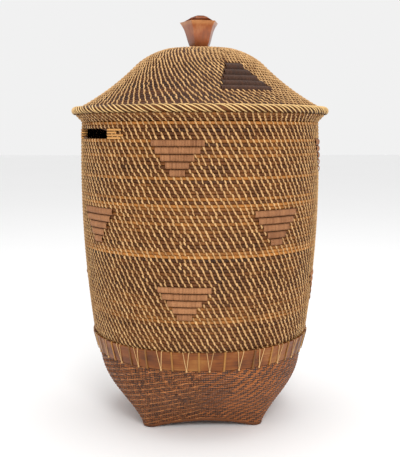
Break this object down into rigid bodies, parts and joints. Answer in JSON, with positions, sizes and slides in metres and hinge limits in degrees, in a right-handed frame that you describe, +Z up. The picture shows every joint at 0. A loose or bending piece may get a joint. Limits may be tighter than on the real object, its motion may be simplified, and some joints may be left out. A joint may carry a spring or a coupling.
{
  "type": "woven laundry basket",
  "caption": "Tall round coiled-cane basket on a plaited square foot, with hand slots, stepped motifs, a flared rim and a domed lift-off lid with a carved wooden knob.",
  "frame": {"origin": "on the floor under the middle of the basket", "axes": "+Z up; the front, with one motif of the upper and lower tiers near its middle, faces -Y; +X is to the right seen from the front"},
  "size_m": [0.4353, 0.4354, 0.6746],
  "materials": {
    "coiled_cane": "satin",
    "lid_cane": "satin",
    "rim_cane": "satin",
    "plaited_cane": "satin",
    "hoop_cane": "satin",
    "pale_split_cane": "satin",
    "tan_wrap": "satin",
    "dark_wrap": "satin",
    "carved_wood": "satin",
    "screw_steel": "brushed"
  },
  "bodies": {
    "basket": {"plaited_base": "plaited_cane", "coiled_wall": "coiled_cane", "rim_collar": "coiled_cane", "rim_edge_coil": "rim_cane", "base_hoop": "hoop_cane", "inner_base_hoop": "hoop_cane", "hoop_lashings": "pale_split_cane", "slot_binding_left_front": "pale_split_cane", "slot_binding_left_back": "pale_split_cane", "slot_binding_right_front": "pale_split_cane", "slot_binding_right_back": "pale_split_cane", "motif_upper_1": "tan_wrap", "motif_upper_2": "tan_wrap", "motif_upper_3": "tan_wrap", "motif_upper_4": "tan_wrap", "motif_middle_1": "tan_wrap", "motif_middle_2": "tan_wrap", "motif_middle_3": "tan_wrap", "motif_middle_4": "tan_wrap", "motif_lower_1": "tan_wrap", "motif_lower_2": "tan_wrap", "motif_lower_3": "tan_wrap", "motif_lower_4": "tan_wrap"},
    "lid": {"lid_shell": "lid_cane", "lid_edge_coil": "lid_cane", "lid_motif_1": "dark_wrap", "lid_motif_2": "dark_wrap", "knob": "carved_wood", "knob_screw": "screw_steel", "knob_backing_disc": "carved_wood"}
  },
  "joints": [
    {"name": "lid_lift", "type": "slide", "parent": "basket", "child": "lid", "axis": [0, 0, 1], "range_m": [0, 0.25]}
  ]
}
